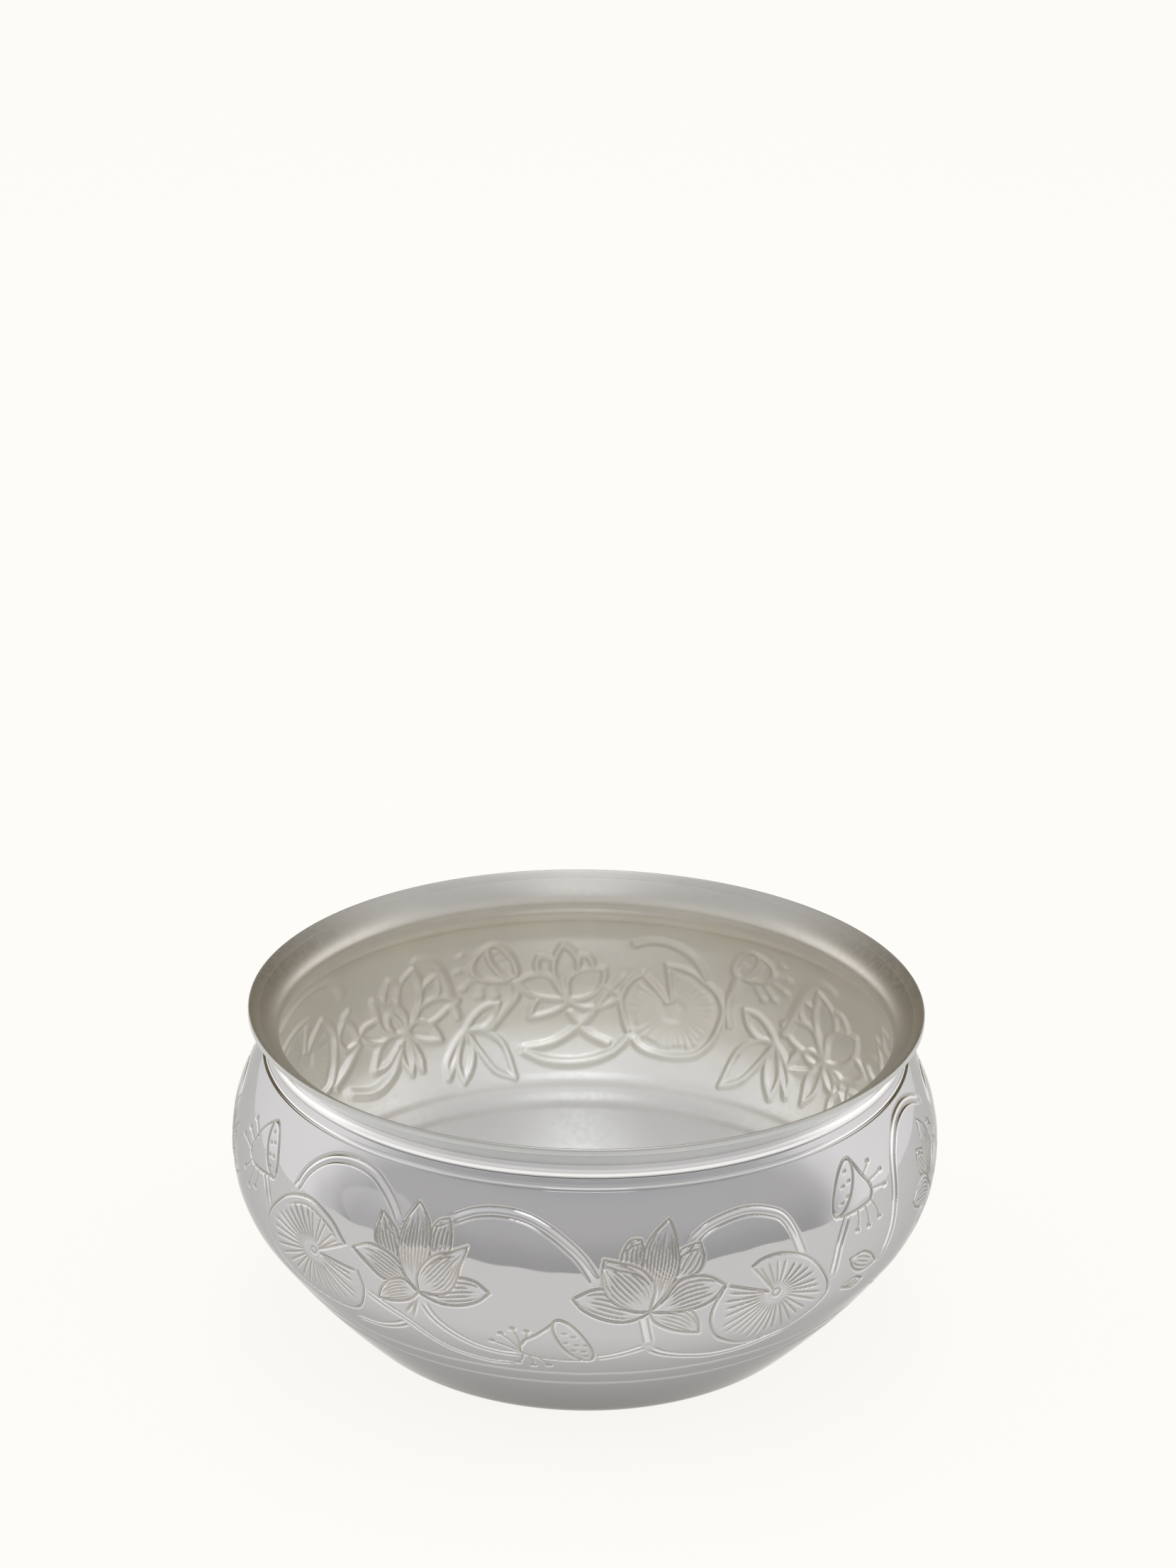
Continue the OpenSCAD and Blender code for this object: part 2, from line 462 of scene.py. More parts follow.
# Petals are (base, left side, tip, right side, hatches, turned lip if any), back to front,
# in (degrees, millimetres) from the middle of the flower's foot
LOTUS_A = (
    ((-4.2, 3.2), [(-7.2, 6.2), (-7.8, 8.5)], (-7.2, 11.9), [(-4.3, 9.4), (-3.2, 6)], 5,
     [(-7.0, 11.2), (-5.9, 9.4), (-4.2, 8.4)]),
    ((2.2, 5.5), [(1.5, 8.5), (1.6, 11), (2.6, 12.6)], (4.3, 13.3), [(4.9, 10.5), (4.6, 7.5)], 4,
     [(1.8, 11.4), (3.0, 11.9), (4.2, 12.6)]),
    ((0, 0), [(-3, 0.6), (-6.2, 0.8), (-8.9, 2.4)], (-11.9, 4.4),
     [(-8.9, 5.9), (-5.8, 5.6), (-3, 4)], 6),
    ((0, 0), [(3, 2.2), (6, 4), (9.2, 3.9)], (11.4, 2.3),
     [(9.3, 0.3), (6.3, -0.9), (3.2, -1.1)], 5),
    ((0, 0), [(-2.4, 2.6), (-3.7, 6.5), (-3.1, 11)], (-1.3, 14.8),
     [(0.9, 12.2), (1.7, 8.6), (1.1, 4.5)], 8),
    ((0, 0), [(-1.6, -1.8), (-4.6, -3.1)], (-7.5, -3.5),
     [(-6.6, -1.1), (-4.8, 0.9), (-2.3, 1.7)], 6),
    ((0, 0), [(-0.2, 3), (1.2, 5.7), (3.1, 7.4), (5.2, 8.1)], (7.7, 9.4),
     [(6.6, 5.8), (6.3, 3.9), (5.4, 1.8), (3.6, 0.4)], 8, [(1.4, 4.9), (3.4, 6.7), (6, 7.6)]),
)
LOTUS_B = (
    ((-1.5, 6.5), [(-4.1, 7.8), (-4.3, 9.3), (-3.7, 11), (-2.6, 12.2)], (-1.1, 12.2),
     [(-0.7, 10), (-0.6, 8)], 4, [(-4.0, 10.1), (-2.6, 11.2), (-1.2, 11.5)]),
    ((4.2, 5), [(3.6, 7), (4.1, 9.3), (5.9, 10.4)], (8.1, 10.9), [(8.4, 8.6), (7.4, 6.2)], 4,
     [(4.3, 8.8), (6.1, 9.6), (8, 9.9)]),
    ((0, 0), [(3.4, 0.6), (5.9, 0), (7.5, -2.2)], (8.1, -5.4),
     [(5.4, -4.7), (3, -3.6), (0.9, -2)], 5),
    ((0, 0), [(2.2, 2.2), (4.4, 5), (7, 5.6), (9.6, 5)], (11.8, 3.3),
     [(10, 1.2), (7, -0.1), (3.6, -0.4)], 6),
    ((0, 0), [(-0.9, 5), (-0.9, 9.6), (0.6, 12.7)], (3.4, 15.1),
     [(4.2, 12.2), (4.6, 9), (4, 6), (2.4, 3)], 9),
    ((0, 0), [(-1.4, -1), (-4, -1.6), (-7, -0.9), (-9.7, 0.7)], (-11.4, 2.8),
     [(-9.1, 4.1), (-6.6, 4.5), (-3.4, 3)], 5),
    ((0, 0), [(-2.6, 0.4), (-5, 1.8), (-6.6, 3.8), (-7.2, 6.6)], (-6.9, 9.2),
     [(-4.6, 8.7), (-2.4, 8.1), (-0.4, 6.8), (0.8, 4.4)], 8,
     [(-6.6, 8.4), (-4.6, 7.5), (-2.2, 6.9), (-0.4, 5.4)]),
)
HANGING = (
    ((0, 0), [(-2.4, -2.4), (-5, -6)], (-5.6, -9), [(-3.5, -6.5), (-1.4, -3)], 4),
    ((0, 0), [(2, 2.6), (4.5, 4.4)], (7, 4.6), [(6, 1.8), (3.4, -0.2)], 4),
    ((0, 0), [(4, -0.6), (7.4, -4)], (9, -11), [(5, -9), (2, -4)], 6),
    ((0, 0), [(-1.8, -3.4), (-2.8, -7)], (-2.4, -10.5), [(0, -7.4), (1, -3.4)], 5),
)


def lotus(work, centre, petals, **how):
    """A flower of the given petals, with place_on's flip, size and tilt."""
    for base, left, tip, right, hatches, *lip in petals:
        base, tip = place_on(centre, [base, tip], **how)
        left, right = place_on(centre, left, **how), place_on(centre, right, **how)
        lip = place_on(centre, lip[0], **how) if lip else ()
        petal(work, base, left, tip, right, hatches, lip)


def round_pad(work, centre, width, height, notch, veins=15):
    """A lily pad as a slightly wavy oval, with its notch at the angle given in degrees."""
    turns = np.radians(notch) + np.linspace(0.28, 2*math.pi - 0.28, 16)
    wave = 1 + 0.03*np.sin(5*turns)
    outline = [(centre[0] + width*w*math.cos(a), centre[1] + height*w*math.sin(a))
               for a, w in zip(turns, wave)]
    lily_pad(work, centre, outline, veins)


def chase_front(work):
    """The plants of the front and of both sides up to about 77 degrees: the long stalks, then
    the left pad and flower, the right pad and flower, the three pods and two small leaves."""
    stem(work, [(-35.2, -4.8), (-31.5, -6.7), (-28, -8.6), (-25, -11.3), (-22, -14), (-19, -15.3),
                (-15, -16.2), (-11, -15.7)], 0.9)
    stem(work, [(-40, -13.8), (-35, -13), (-31, -11.2), (-28.5, -9.5)], 1.0)
    stem(work, [(-24.7, -3.5), (-23, -6.5), (-20, -9.3), (-16.5, -11.5), (-13, -12.4), (-9.7, -12.5)], 1.0)
    stem(work, [(-51.1, 6.8), (-49.5, 10.5), (-47, 13.3), (-44, 14.9), (-40, 15.5), (-36, 14.9),
                (-33.2, 13.3), (-31, 11.3), (-29, 8.6)], 1.3)
    stem(work, [(-21, 11), (-17, 12.9), (-13, 13.5), (-9, 13), (-5.5, 11.4), (-2.5, 9.2), (0, 6.7),
                (2, 3.5)], 1.5)
    stem(work, [(2.5, -12.6), (6, -11.5), (9.5, -9.8)], 1.0)
    stem(work, [(10.5, -10.2), (13, -12.2), (17, -14), (22, -15.2), (27, -15), (31, -14), (35, -12.5)], 1.1)
    stem(work, [(9.1, -3.4), (9.6, -6), (10.2, -8.8)], 1.3)
    stem(work, [(16.5, 8.8), (20, 11), (25.5, 12.1), (30, 11.2), (33, 8.9), (35.5, 2)], 1.4)
    stem(work, [(-60.5, 6), (-58.9, 3.6), (-57.8, 1)], 1.1)
    lily_pad(work, (-45.7, -1.5), [(-38.8, 2.3), (-42.4, 5.4), (-48, 6.8), (-54, 4.4), (-58.6, -1.5),
                                   (-57, -7), (-52, -10.4), (-46, -11.4), (-41, -11.3), (-37.5, -9.5),
                                   (-35.6, -5), (-36.3, -1.7)], 15, 0.6)
    work.line(smooth([(-53.2, 3.6), (-48, 5.5), (-43, 4.3), (-40.2, 2.2)]), 0.16, 0.28, 0.1, fade=0.2)
    lotus(work, (-25.3, -2), LOTUS_A)
    work.line(smooth([(-25.4, -2.8), (-27, -7.8)]), 0.18, 0.4, 0.2, fade=0.4)
    work.line(smooth([(-25.8, -3.4), (-28.3, -7.2)]), 0.18, 0.4, 0.2, fade=0.4)
    lily_pad(work, (30.5, -2.5), [(26.2, 3.1), (28, 4), (31, 4.2), (34, 3.3), (36.5, 1.8), (39, -1),
                                  (41, -5), (40, -8), (35, -12), (30, -13.3), (26.5, -13), (23, -11),
                                  (21, -9), (19.8, -6), (19.8, -3.5), (20.5, -1.5), (21.8, 0.9)], 14)
    lotus(work, (10, -2.3), LOTUS_B)
    seed_pod(work, ((-3.9, -3.6), (1.3, -13.6)), 2.1,
             [(-3.9, -3.6), (-5, -5), (-7, -7), (-9, -8.7), (-9.7, -10.5), (-9.5, -12), (-7, -13.1),
              (-3, -13.6), (0, -13.6), (1.3, -13.6)],
             [(-2.7, -6.3), (-1.3, -7), (-2.5, -8.5), (-0.8, -9), (0.6, -9), (-1.3, -10.5), (0.3, -10.7),
              (0.8, -12.2)],
             [((-9.9, -10.6), (-12.5, -7.3)), ((-9.6, -10), (-10.6, -5.9)), ((-9.2, -9.6), (-8.4, -6.2)),
              ((-10.1, -11.3), (-14, -9.4)), ((-9.4, -12.6), (-10.5, -15.6)), ((-8.4, -13), (-8, -16.2)),
              ((-7, -13.2), (-5.4, -15.8))])
    seed_pod(work, ((-62.6, 14), (-57.6, 6)), 1.8,
             [(-57.6, 6), (-60, 5.6), (-65, 5.2), (-67.3, 6.8), (-66.5, 9.5), (-64.6, 12.4), (-62.6, 14)],
             [(-60.6, 8.8), (-59.3, 9), (-59.6, 7.3), (-60.2, 11), (-61.3, 10.6), (-61.6, 12.4)],
             [((-66, 9.6), (-69, 11.5)), ((-66.9, 8.2), (-70, 9.4)), ((-67, 6.8), (-71.5, 7.4)),
              ((-66, 5.6), (-68.6, 3)), ((-64.6, 5.2), (-66.3, 0.8)), ((-63, 5.2), (-63.6, 1.8))])
    stem(work, [(54, -4.8), (56, -0.5), (57.3, 4.5), (58.7, 9.5), (61, 12.5), (64.5, 14.9), (69, 15.7),
                (73, 15), (77, 13)], 1.4)
    stem(work, [(44.8, 6), (42.6, 2), (41.4, -3)], 1.2)
    seed_pod(work, ((42.4, 6.6), (48.2, 14.5)), 1.9,
             [(48.2, 14.5), (48.9, 13.4), (49.9, 11.3), (51.2, 9.3), (51.4, 7.8), (50.3, 6.6), (47.5, 6.2),
              (44.5, 6.2), (42.4, 6.6)],
             [(44, 8.4), (45.6, 9), (45, 10.8), (46.6, 11.2), (46.4, 12.9)],
             [((50.2, 11), (52.4, 12.6)), ((51, 9.6), (54.8, 10.2)), ((51.4, 8.2), (55, 7.6)),
              ((50.6, 6.8), (52.4, 3.2)), ((49, 6.4), (49.6, 2.7)), ((47.2, 6.2), (46.8, 3))])
    petal(work, (52.5, -5), [(49.4, -5.6), (46.8, -4.2)], (45.3, -1.7), [(48.5, -1.7), (50.8, -3)], 3)
    petal(work, (50, -7.6), [(48, -8.6)], (44.6, -7.2), [(47.4, -6.4)], 2)


def chase_back(work):
    """The plants round the back, from the right side to the left side."""
    lotus(work, (75, -2.5), LOTUS_B, flip=-1, size=0.95)
    stem(work, [(75.6, -4), (74, -9), (69, -13), (62, -14.6), (56, -12)], 1.1)
    round_pad(work, (93, -3), 9.5, 8.6, 130)
    stem(work, [(82, 9), (86, 12.6), (91, 13.6), (96, 12), (100, 8), (103, 4)], 1.4)
    stem(work, [(84, -13.5), (92, -15), (100, -14.4), (108, -11.5)], 1.1)
    lotus(work, (111, -4), LOTUS_A, size=0.9)
    stem(work, [(111.6, -6), (114.4, -10), (119, -13)], 1.1)
    round_pad(work, (122.6, -12.4), 4.6, 3.4, 60, 9)
    lotus(work, (131.5, -6), LOTUS_B, size=0.92, tilt=6)
    lotus(work, (131.5, -6), HANGING, size=0.62, tilt=-30)
    stem(work, [(128, 9.6), (131, 10.8), (134, 9.8), (137, 6), (139.5, 1), (142, -5)], 1.5)
    lotus(work, (143, -6), HANGING)
    stem(work, [(151, 6.4), (152.4, 2.6), (153.6, -1.6), (152.6, -6)], 1.2)
    seed_pod(work, ((146.6, 13), (151.6, 6)), 1.9,
             [(151.6, 6), (149, 5.6), (145.6, 6.4), (143.6, 8.4), (144, 11), (146.6, 13)],
             [(148, 10.6), (149.4, 8.8), (150.2, 7.4)],
             [((143.8, 9.6), (141, 11.6)), ((143.6, 8.4), (140.2, 8.4)), ((144.4, 6.8), (141.4, 5)),
              ((146, 6), (144, 2.6)), ((148, 5.6), (146.4, 2))])
    round_pad(work, (164, -4), 9.6, 9.4, 68, 16)
    stem(work, [(157.6, 3), (159.4, 7.6), (163, 10.6), (167.6, 11.4), (172, 9.6)], 1.3)
    lotus(work, (183.4, -3), LOTUS_B, size=0.82, tilt=8)
    stem(work, [(183.4, -5), (180, -9.6), (175, -12)], 1.1)
    stem(work, [(171, -9), (175, -13.4), (181, -15.4), (188, -15), (193.6, -12)], 1.1)
    stem(work, [(172.6, 3), (176, -1), (180, -7), (186, -11.4), (193, -12.6)], 1.0)
    seed_pod(work, ((198.4, 10.4), (193.4, 2)), 1.9,
             [(193.4, 2), (196.4, 1.6), (200, 2.6), (201.6, 5.4), (200.6, 8.4), (198.4, 10.4)],
             [(195, 5), (196.2, 6.6), (197.4, 8.4)],
             [((201.4, 6.4), (204, 8.6)), ((201.4, 5), (204.2, 5)), ((200.4, 3), (203, 0.8)),
              ((198.4, 2), (199.8, -1.2)), ((196.4, 1.6), (196.8, -1.6))])
    stem(work, [(193.4, 2), (192.8, -1.4), (195.4, -5), (198.6, -8), (202, -8.4)], 1.1)
    lotus(work, (203, -7.6), HANGING, size=0.95, flip=-1)
    stem(work, [(214.6, 10.4), (210.4, 9), (207.4, 5), (205.6, 0), (204, -6)], 1.5)
    lotus(work, (214.8, -5.4), LOTUS_A, size=0.9)
    lotus(work, (214.8, -6), HANGING, size=0.7, tilt=20)
    stem(work, [(216, -8), (219.6, -12.6), (225, -14.6), (231, -13)], 1.2)
    petal(work, (225, -4.4), [(226.4, -1), (228.4, 1.4)], (227.4, 2.6), [(229.8, -2), (228.4, -5)], 4)
    stem(work, [(224.6, -4.4), (229, -8.4), (234, -11)], 1.2)
    round_pad(work, (239, -3), 8.4, 8.2, 110)
    stem(work, [(229, 6), (232, 10.6), (237, 13), (242, 12.4), (246, 9.6), (249, 6)], 1.4)
    lotus(work, (256, -3), LOTUS_B, size=0.95)
    stem(work, [(256, -5), (254, -10), (248, -13.4), (240, -14)], 1.1)
    stem(work, [(262, 9), (266, 12), (271, 12.6), (276, 10.4), (279, 6)], 1.4)
    lotus(work, (276.6, -4), LOTUS_A, size=0.9, flip=-1)
    stem(work, [(276, -6), (272, -11), (265, -13.6)], 1.1)


def edge_fade(rows_s):
    """1 over the band, falling to 0 at the seam and at the foot of the band."""
    from_edge = np.minimum(rows_s[0] - rows_s, rows_s - rows_s[-1])
    return np.clip(from_edge/3, 0, 1)[:, None]


def border_line(work, s, shine):
    """One of the plain lines round the pot, as the CAD body has them, with a painted glint along it."""
    row = work.rows_s
    depth = 0.22*np.clip(1 - ((row - s)/0.44)**2, 0, 1)
    ridge = 0.16*np.clip(1 - ((row - s)/1.6)**2, 0, 1)**2
    work.sunk += depth[:, None]
    work.marks -= shine*np.clip(1 - np.abs(row - s)/0.5, 0, 1)[:, None]
    work.swelled[:] = np.maximum(work.swelled, ridge[:, None])


def chased_wall():
    """All the tool work on the wall. Round its lines the sheet is pulled in a little."""
    rows_s = np.arange(OUTER_TOP, BAND_LOW, -STEP_S)
    work = Chasing(rows_s)
    chase_back(work)
    chase_front(work)
    work.sunk += 1.1*eased(work.sunk, 2.4) + planished(rows_s)*edge_fade(rows_s)
    for s, shine in BORDER_LINES:
        border_line(work, s, shine)
    return work


# ---------------------------------------------------------------- the pieces
def with_flat(r, z, shares, height):
    """The same rows with a flat disc's rows added, at shares of the last row's radius."""
    flat = (np.array(shares)*r[-1, 0])[:, None]*np.ones(r.shape[1])
    return np.concatenate([r, flat]), np.concatenate([z, height + 0*flat])


def bowl_outside(work, tail):
    """Radius and height of the bowl's outside, from the seam down to the base."""
    sunk = np.concatenate([work.sunk, np.zeros((len(tail), COLUMNS))])
    r, z = wall(np.concatenate([work.rows_s, tail])[:, None], -sunk)
    r, z = with_flat(under_ring(r, z), z, (0.85, 0.5, 0.15), 0)
    z[0] = SEAM_Z
    return r, z


def bowl_inside(work, tail):
    """Radius and height of the bowl's inside, with half as many rows and columns."""
    s = np.concatenate([[INNER_TOP, INNER_TOP - CLOSE], work.rows_s[::2], tail[::2], [-HEEL_END]])
    swelled = np.zeros((len(s), COLUMNS//2))
    ridges = work.swelled[::2, ::2]
    swelled[2:2 + len(ridges)] = ridges
    r, z = wall(s[:, None], -SHEET - swelled)
    r, z = with_flat(r + neck_ease(z), z, np.linspace(0.94, 0.1, 12), SHEET)
    z[0] = SEAM_Z
    return r, z


def make_bowl():
    """The bowl's one sheet: the outside, the inside and the edge between them at the seam."""
    work = chased_wall()
    tail = np.linspace(BAND_LOW, -HEEL_END, 30)
    r, z = bowl_outside(work, tail)
    r_in, z_in = bowl_inside(work, tail)
    verts = np.concatenate([rows_to_verts(r, z), rows_to_verts(r_in, z_in)])
    rows, rows_in = len(r), len(r_in)
    half = COLUMNS//2
    inner = rows*COLUMNS
    quads = [ring_quads((k + 1)*COLUMNS, k*COLUMNS, COLUMNS) for k in range(rows - 1)]
    quads += [ring_quads(inner + k*half, inner + (k + 1)*half, half) for k in range(rows_in - 1)]
    bridge = [(2*a, 2*a + 1, (2*a + 2) % COLUMNS, inner + (a + 1) % half, inner + a)
              for a in range(half)]
    underside = np.arange(COLUMNS)[::-1] + (rows - 1)*COLUMNS
    floor = inner + (rows_in - 1)*half + np.arange(half)
    skins = np.repeat([0, 1, 0, 1], [(rows - 1)*COLUMNS, (rows_in - 1)*half, half + 1, 1])
    bowl = mesh_from("bowl", verts, np.concatenate(quads), skins, bridge + [underside, floor])
    marks = np.zeros(len(verts), np.float32)
    marks[:work.marks.size] = work.marks.ravel()
    bowl.data.attributes.new("tool_shade_and_glint", "FLOAT", "POINT").data.foreach_set("value", marks)
    return bowl


def collar_edge(radius, steps=32):
    """Points up one side of the collar, with a close point next to each end."""
    centre = collar_arc()
    low = math.pi - math.asin((SEAM_Z - centre[1])/radius)
    high = math.pi - math.asin((RIM_Z - centre[1])/radius)
    slip = math.copysign(CLOSE/radius, high - low)
    bottom = arc(centre, radius, low, low + slip, 1)
    top = arc(centre, radius, high - slip, high, 1)
    return bottom + arc(centre, radius, low, high, steps)[1:-1] + top


def make_collar():
    """The flared collar, frosted outside and satin inside."""
    inner = [(collar_inside(z), z) for _, z in collar_edge(FLARE_ARC + SHEET)]
    outer = [(float(under_ring(r, z)), z) for r, z in collar_edge(FLARE_ARC)]
    return turned("collar", outer + inner[::-1], [0]*len(outer) + [1]*len(inner))


def make_ring():
    """The ring's seen side, with painted shade on its rows in the creases next to the two sheets."""
    centre = (NECK_R + RING_OUT, SEAM_Z)
    outline = arc(centre, RING_WIRE_R, math.radians(-74), math.radians(95), 36)
    low, high = 8, 4
    seen = len(outline) - low - high
    return turned("ring", outline, [1]*low + [0]*seen + [1]*high)


def make_rim():
    """A thin lip: upright outside, rounded over and sloping in to the collar's inside."""
    inner = collar_inside(RIM_Z)
    c = RIM_CORNER
    outline = [(inner, RIM_Z), (RIM_R, RIM_Z), (RIM_R, RIM_Z + CLOSE)]
    outline += arc((RIM_R - c, POT_H - c), c, 0, math.radians(128), 14)
    outline += [(inner + CLOSE, RIM_Z + CLOSE)]
    outside_rows = 8
    return turned("rim", outline, [0]*outside_rows + [1]*(len(outline) - outside_rows))


# ---------------------------------------------------------------- materials
# The polished outside: clean metal, painted shade near the base, tool lines matt with painted shade, and
# painted glints beside them
CLEAN = ((0.54, 0.537, 0.552), (0.565, 0.56, 0.573))
BASE_SHADE = (0.245, 0.24, 0.236)
MATT_SHADED_LINE = (0.42, 0.40, 0.365)
PAINTED_GLINT = (0.93, 0.93, 0.94)
# Colours of the satin surfaces by height in millimetres, holding painted light and shade
# Inside: bands made lighter and darker up the wall, painted light and shade for how light falls in the bowl
INSIDE_PAINTED_SHADING = ((1, (0.86, 0.855, 0.845)), (7, (0.84, 0.835, 0.825)), (13, (0.75, 0.745, 0.73)),
                (19, (1.0, 0.995, 0.97)), (32, (1.0, 0.975, 0.905)), (50.5, (1.0, 0.95, 0.855)),
                (55, (0.60, 0.585, 0.55)))
# Collar outside and rim: the rim painted darker than the collar, painted shade
COLLAR_PAINTED_SHADING = ((56.6, (0.78, 0.785, 0.785)), (57.2, (0.55, 0.555, 0.55)))
# Painted shade in the creases on both sides of the neck ring
CREASE_PAINTED_SHADE = ((50, (0.2, 0.185, 0.165)), (58, (0.2, 0.185, 0.165)))


def new_material(name):
    """A material with its nodes, its links and its surface shader."""
    material = bpy.data.materials.new(name)
    material.use_nodes = True
    nodes = material.node_tree.nodes
    return material, nodes, material.node_tree.links, nodes["Principled BSDF"]


def noise(nodes, links, scale, detail=2.0, rough=0.5):
    """Noise over the piece, with scale counted per metre."""
    where = nodes.new("ShaderNodeTexCoord")
    node = nodes.new("ShaderNodeTexNoise")
    node.inputs["Scale"].default_value = scale
    node.inputs["Detail"].default_value = detail
    node.inputs["Roughness"].default_value = rough
    links.new(where.outputs["Object"], node.inputs["Vector"])
    return node.outputs["Fac"]


def between(nodes, links, source, low, high, start=0.0, end=1.0):
    """source from start to end, mapped to low to high."""
    node = nodes.new("ShaderNodeMapRange")
    links.new(source, node.inputs["Value"])
    for key, value in (("From Min", start), ("From Max", end), ("To Min", low), ("To Max", high)):
        node.inputs[key].default_value = value
    return node.outputs["Result"]


def mixed(nodes, links, factor, first, second):
    """A colour between two colours or colour sockets."""
    node = nodes.new("ShaderNodeMix")
    node.data_type = "RGBA"
    links.new(factor, node.inputs["Factor"])
    for socket, value in ((node.inputs[6], first), (node.inputs[7], second)):
        if isinstance(value, tuple):
            socket.default_value = (*value, 1)
        else:
            links.new(value, socket)
    return node.outputs[2]


def put(links, value, socket):
    """Sets a socket to a number, or links another socket to it."""
    if isinstance(value, (int, float)):
        socket.default_value = value
    else:
        links.new(value, socket)


def maths(nodes, links, operation, *values):
    """The result of one operation on numbers and sockets."""
    node = nodes.new("ShaderNodeMath")
    node.operation = operation
    for value, socket in zip(values, node.inputs):
        put(links, value, socket)
    return node.outputs[0]


def height_of(nodes, links):
    """Height above the base, in metres."""
    where = nodes.new("ShaderNodeNewGeometry")
    split = nodes.new("ShaderNodeSeparateXYZ")
    links.new(where.outputs["Position"], split.inputs[0])
    return split.outputs["Z"]


def bumped(nodes, links, shader, height, distance):
    """Very shallow bumps, distance metres high."""
    node = nodes.new("ShaderNodeBump")
    node.inputs["Strength"].default_value = 1
    node.inputs["Distance"].default_value = distance
    links.new(height, node.inputs["Height"])
    links.new(node.outputs["Normal"], shader.inputs["Normal"])


def polished_silver(name, gloss, painted_lift):
    """Mirror polish with faint wiping marks, painted shade near the base, painted shade in the tool lines,
    which are also rougher and browner, and painted glints beside them. gloss is the lowest and highest
    roughness, and the last argument lightens the metal with painted light."""
    material, nodes, links, shader = new_material(name)
    shader.inputs["Metallic"].default_value = 1
    shader.inputs["Specular Tint"].default_value = (0.7, 0.7, 0.7, 1)
    tool = nodes.new("ShaderNodeAttribute")
    tool.attribute_name = "tool_shade_and_glint"
    cloudy = noise(nodes, links, 60, 3)
    first, second = [tuple(v + painted_lift for v in tone) for tone in CLEAN]
    clean = mixed(nodes, links, cloudy, first, second)
    # Painted shade: darker towards the base, for the shadowed floor that the lower flank mirrors
    low = between(nodes, links, height_of(nodes, links), 1, 0, 0.004, 0.027)
    base_shaded = mixed(nodes, links, low, clean, BASE_SHADE)
    # Tool lines: rougher, and darker with painted shade in their bottoms; painted glints beside them on
    # their lit side
    matt_and_shaded = between(nodes, links, tool.outputs["Fac"], 0, 1)
    glint_share = between(nodes, links, tool.outputs["Fac"], 1, 0, -1, 0)
    colour = mixed(nodes, links, matt_and_shaded, base_shaded, MATT_SHADED_LINE)
    colour = mixed(nodes, links, glint_share, colour, PAINTED_GLINT)
    links.new(colour, shader.inputs["Base Color"])
    wiped = between(nodes, links, noise(nodes, links, 240, 4, 0.65), *gloss, 0.3, 0.7)
    rough = maths(nodes, links, "MULTIPLY_ADD", matt_and_shaded, 0.07, wiped)
    links.new(rough, shader.inputs["Roughness"])
    bumped(nodes, links, shader, noise(nodes, links, 90, 2), 0.00002)
    return material


def satin_silver(name, tones):
    """Soft frosted finish with a fine grain, its colour going through tones by height that hold painted
    light and shade.
    """
    material, nodes, links, shader = new_material(name)
    shader.inputs["Metallic"].default_value = 1
    graded = nodes.new("ShaderNodeValToRGB")
    share = between(nodes, links, height_of(nodes, links), 0, 1, 0, POT_H*MM)
    links.new(share, graded.inputs[0])
    stops = graded.color_ramp.elements
    while len(stops) < len(tones):
        stops.new(1)
    for stop, (height, tone) in zip(stops, tones):
        stop.position = height/POT_H
        stop.color = (*tone, 1)
    cloudy = between(nodes, links, noise(nodes, links, 40, 3), 0, 1, 0.35, 0.65)
    lighter = nodes.new("ShaderNodeHueSaturation")
    links.new(between(nodes, links, cloudy, 0.97, 1.03), lighter.inputs["Value"])
    links.new(graded.outputs["Color"], lighter.inputs["Color"])
    colour = lighter.outputs["Color"]
    links.new(colour, shader.inputs["Base Color"])
    grain = noise(nodes, links, 900, 3, 0.6)
    links.new(between(nodes, links, grain, 0.33, 0.41, 0.3, 0.7), shader.inputs["Roughness"])
    bumped(nodes, links, shader, grain, 0.00001)
    return material


# ---------------------------------------------------------------- set, in metres
# Half the floor's width from its front to its middle and at its rear, and where those are
FLOOR_NEAR, FLOOR_FAR = 0.36, 0.66
FLOOR_FRONT, FLOOR_MIDDLE, FLOOR_REAR = -0.36, 0.12, 2.6
FLOOR_GLOW = 0.9
CAMERA_PLACE = (0, -0.50246, 0.28553)
CAMERA_TURN = (69.343, -0.7405, 0.3085)  # degrees
LENS = 75.139


def make_floor():
    """A plain sheet of paper that glows a little, so that it stays evenly pale."""
    right = [(FLOOR_NEAR, FLOOR_FRONT, 0), (FLOOR_NEAR, FLOOR_MIDDLE, 0), (FLOOR_FAR, FLOOR_REAR, 0)]
    left = [(-x, y, z) for x, y, z in right[::-1]]
    mesh = bpy.data.meshes.new("floor")
    mesh.from_pydata(right + left, [], [(0, 1, 2, 3, 4, 5)])
    floor = bpy.data.objects.new("floor", mesh)
    bpy.context.scene.collection.objects.link(floor)
    material, _, _, shader = new_material("paper")
    shader.inputs["Base Color"].default_value = (0.12, 0.12, 0.12, 1)
    shader.inputs["Roughness"].default_value = 0.9
    shader.inputs["Specular IOR Level"].default_value = 0
    shader.inputs["Emission Color"].default_value = (1.0, 0.985, 0.945, 1)
    shader.inputs["Emission Strength"].default_value = FLOOR_GLOW
    mesh.materials.append(material)


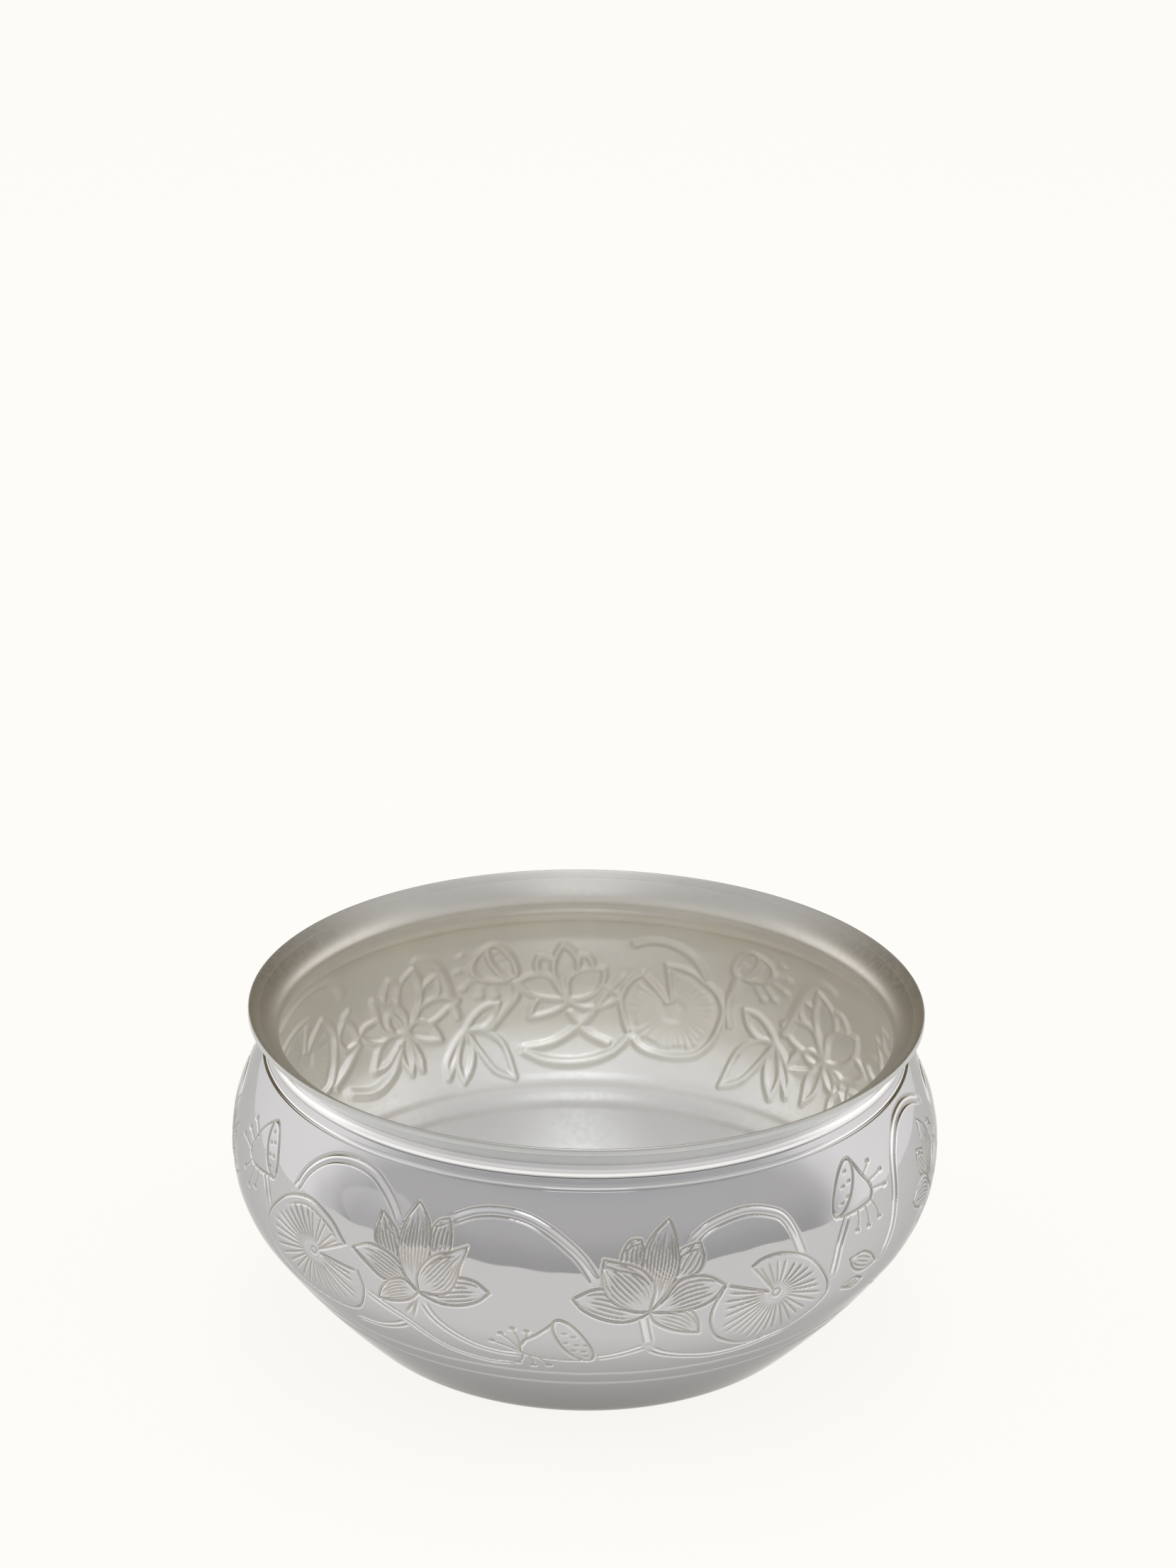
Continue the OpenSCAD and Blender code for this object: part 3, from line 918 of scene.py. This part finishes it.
def make_camera():
    """The camera, fitted to the photo."""
    data = bpy.data.cameras.new("camera")
    data.sensor_width = 36
    data.lens = LENS
    data.clip_start = 0.01
    data.clip_end = 20
    camera = bpy.data.objects.new("camera", data)
    bpy.context.scene.collection.objects.link(camera)
    camera.location = CAMERA_PLACE
    camera.rotation_euler = [math.radians(turn) for turn in CAMERA_TURN]
    bpy.context.scene.camera = camera


def eased_between(nodes, links, source, start, end, low, high):
    """low where source is below start, high where it is above end, smooth between."""
    result = between(nodes, links, source, low, high, start, end)
    result.node.interpolation_type = "SMOOTHSTEP"
    return result


def level_mix(nodes, links, factor, first, second):
    """A level between first and second, each a number or a socket."""
    node = nodes.new("ShaderNodeMix")
    links.new(factor, node.inputs["Factor"])
    put(links, first, node.inputs[2])
    put(links, second, node.inputs[3])
    return node.outputs[0]


def make_world():
    """The studio that the polished metal mirrors: a grey front, a bright back with a dark
    brown part higher up, a grey top, and one pale round reflector at the left."""
    world = bpy.data.worlds.new("studio")
    bpy.context.scene.world = world
    world.use_nodes = True
    nodes, links = world.node_tree.nodes, world.node_tree.links
    where = nodes.new("ShaderNodeTexCoord")
    split = nodes.new("ShaderNodeSeparateXYZ")
    links.new(where.outputs["Generated"], split.inputs[0])
    y, z = split.outputs["Y"], split.outputs["Z"]

    front = eased_between(nodes, links, z, -0.12, 0.4, 0.55, 0.7)
    beside = eased_between(nodes, links, y, -0.3, 0.12, 0, 1)
    level = level_mix(nodes, links, beside, front, 1.2)
    lean = maths(nodes, links, "MULTIPLY_ADD", z, 1.2, y)
    behind = eased_between(nodes, links, lean, 0.8, 1.15, 0, 1)
    below_top = eased_between(nodes, links, z, 0.55, 0.9, 1, 0)
    brown = maths(nodes, links, "MULTIPLY", behind, below_top)
    level = level_mix(nodes, links, brown, level, 0.17)
    overhead = eased_between(nodes, links, z, 0.6, 0.95, 0, 1)
    level = level_mix(nodes, links, overhead, level, 0.55)

    reflector = nodes.new("ShaderNodeVectorMath")
    reflector.operation = "DOT_PRODUCT"
    links.new(where.outputs["Generated"], reflector.inputs[0])
    reflector.inputs[1].default_value = (-0.905, -0.417, 0.09)
    disc = eased_between(nodes, links, reflector.outputs["Value"], 0.962, 0.972, 0, 0.14)
    level = maths(nodes, links, "ADD", level, disc)

    high = eased_between(nodes, links, z, 0.5, 0.8, 0, 1)
    colour = mixed(nodes, links, brown, (1.0, 0.985, 0.965), (1.0, 0.85, 0.58))
    colour = mixed(nodes, links, high, colour, (0.985, 0.985, 0.99))
    links.new(colour, nodes["Background"].inputs["Color"])
    links.new(level, nodes["Background"].inputs["Strength"])


def make_softbox(name, place, width, length, radiance):
    """A level light over the pot, shining down, width by length metres."""
    data = bpy.data.lights.new(name, "AREA")
    data.shape = "RECTANGLE"
    data.size = width
    data.size_y = length
    data.energy = radiance*math.pi*width*length
    data.color = (0.98, 0.99, 1.0)
    light = bpy.data.objects.new(name, data)
    bpy.context.scene.collection.objects.link(light)
    light.location = place


def finish_piece(piece, node, slot, *materials):
    """Gives a piece its materials, hangs it under the root body and hides the CAD node that it stands for.
    """
    for material in materials:
        piece.data.materials.append(material)
    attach(piece, "root")
    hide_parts(node)


make_camera()
make_floor()
make_world()
make_softbox("front_light", (0.03, -0.4, 1.05), 0.4, 0.6, 0.85)
make_softbox("rear_light", (0.02, 0.38, 1.05), 0.3, 0.6, 2.0)
outside = polished_silver("silver_polished", (0.03, 0.075), 0)
inside = satin_silver("silver_satin", INSIDE_PAINTED_SHADING)
frosted = satin_silver("silver_frosted", COLLAR_PAINTED_SHADING)
# Painted shade for the creases beside the neck ring
crease_shade = satin_silver("silver_crease_shade", CREASE_PAINTED_SHADE)
# The ring is a lighter copy of the polished metal: painted light on its bead
ring_silver = polished_silver("silver_ring", (0.22, 0.28), 0.36)
finish_piece(make_bowl(), "chased_body", "polished_body", outside, inside)
finish_piece(make_collar(), "mouth_collar", "polished_collar", frosted, inside)
finish_piece(make_ring(), "neck_ring", "polished_ring", ring_silver, crease_shade)
finish_piece(make_rim(), "rim_wire", "polished_rim", frosted, inside)

bpy.context.scene.view_settings.view_transform = "Standard"
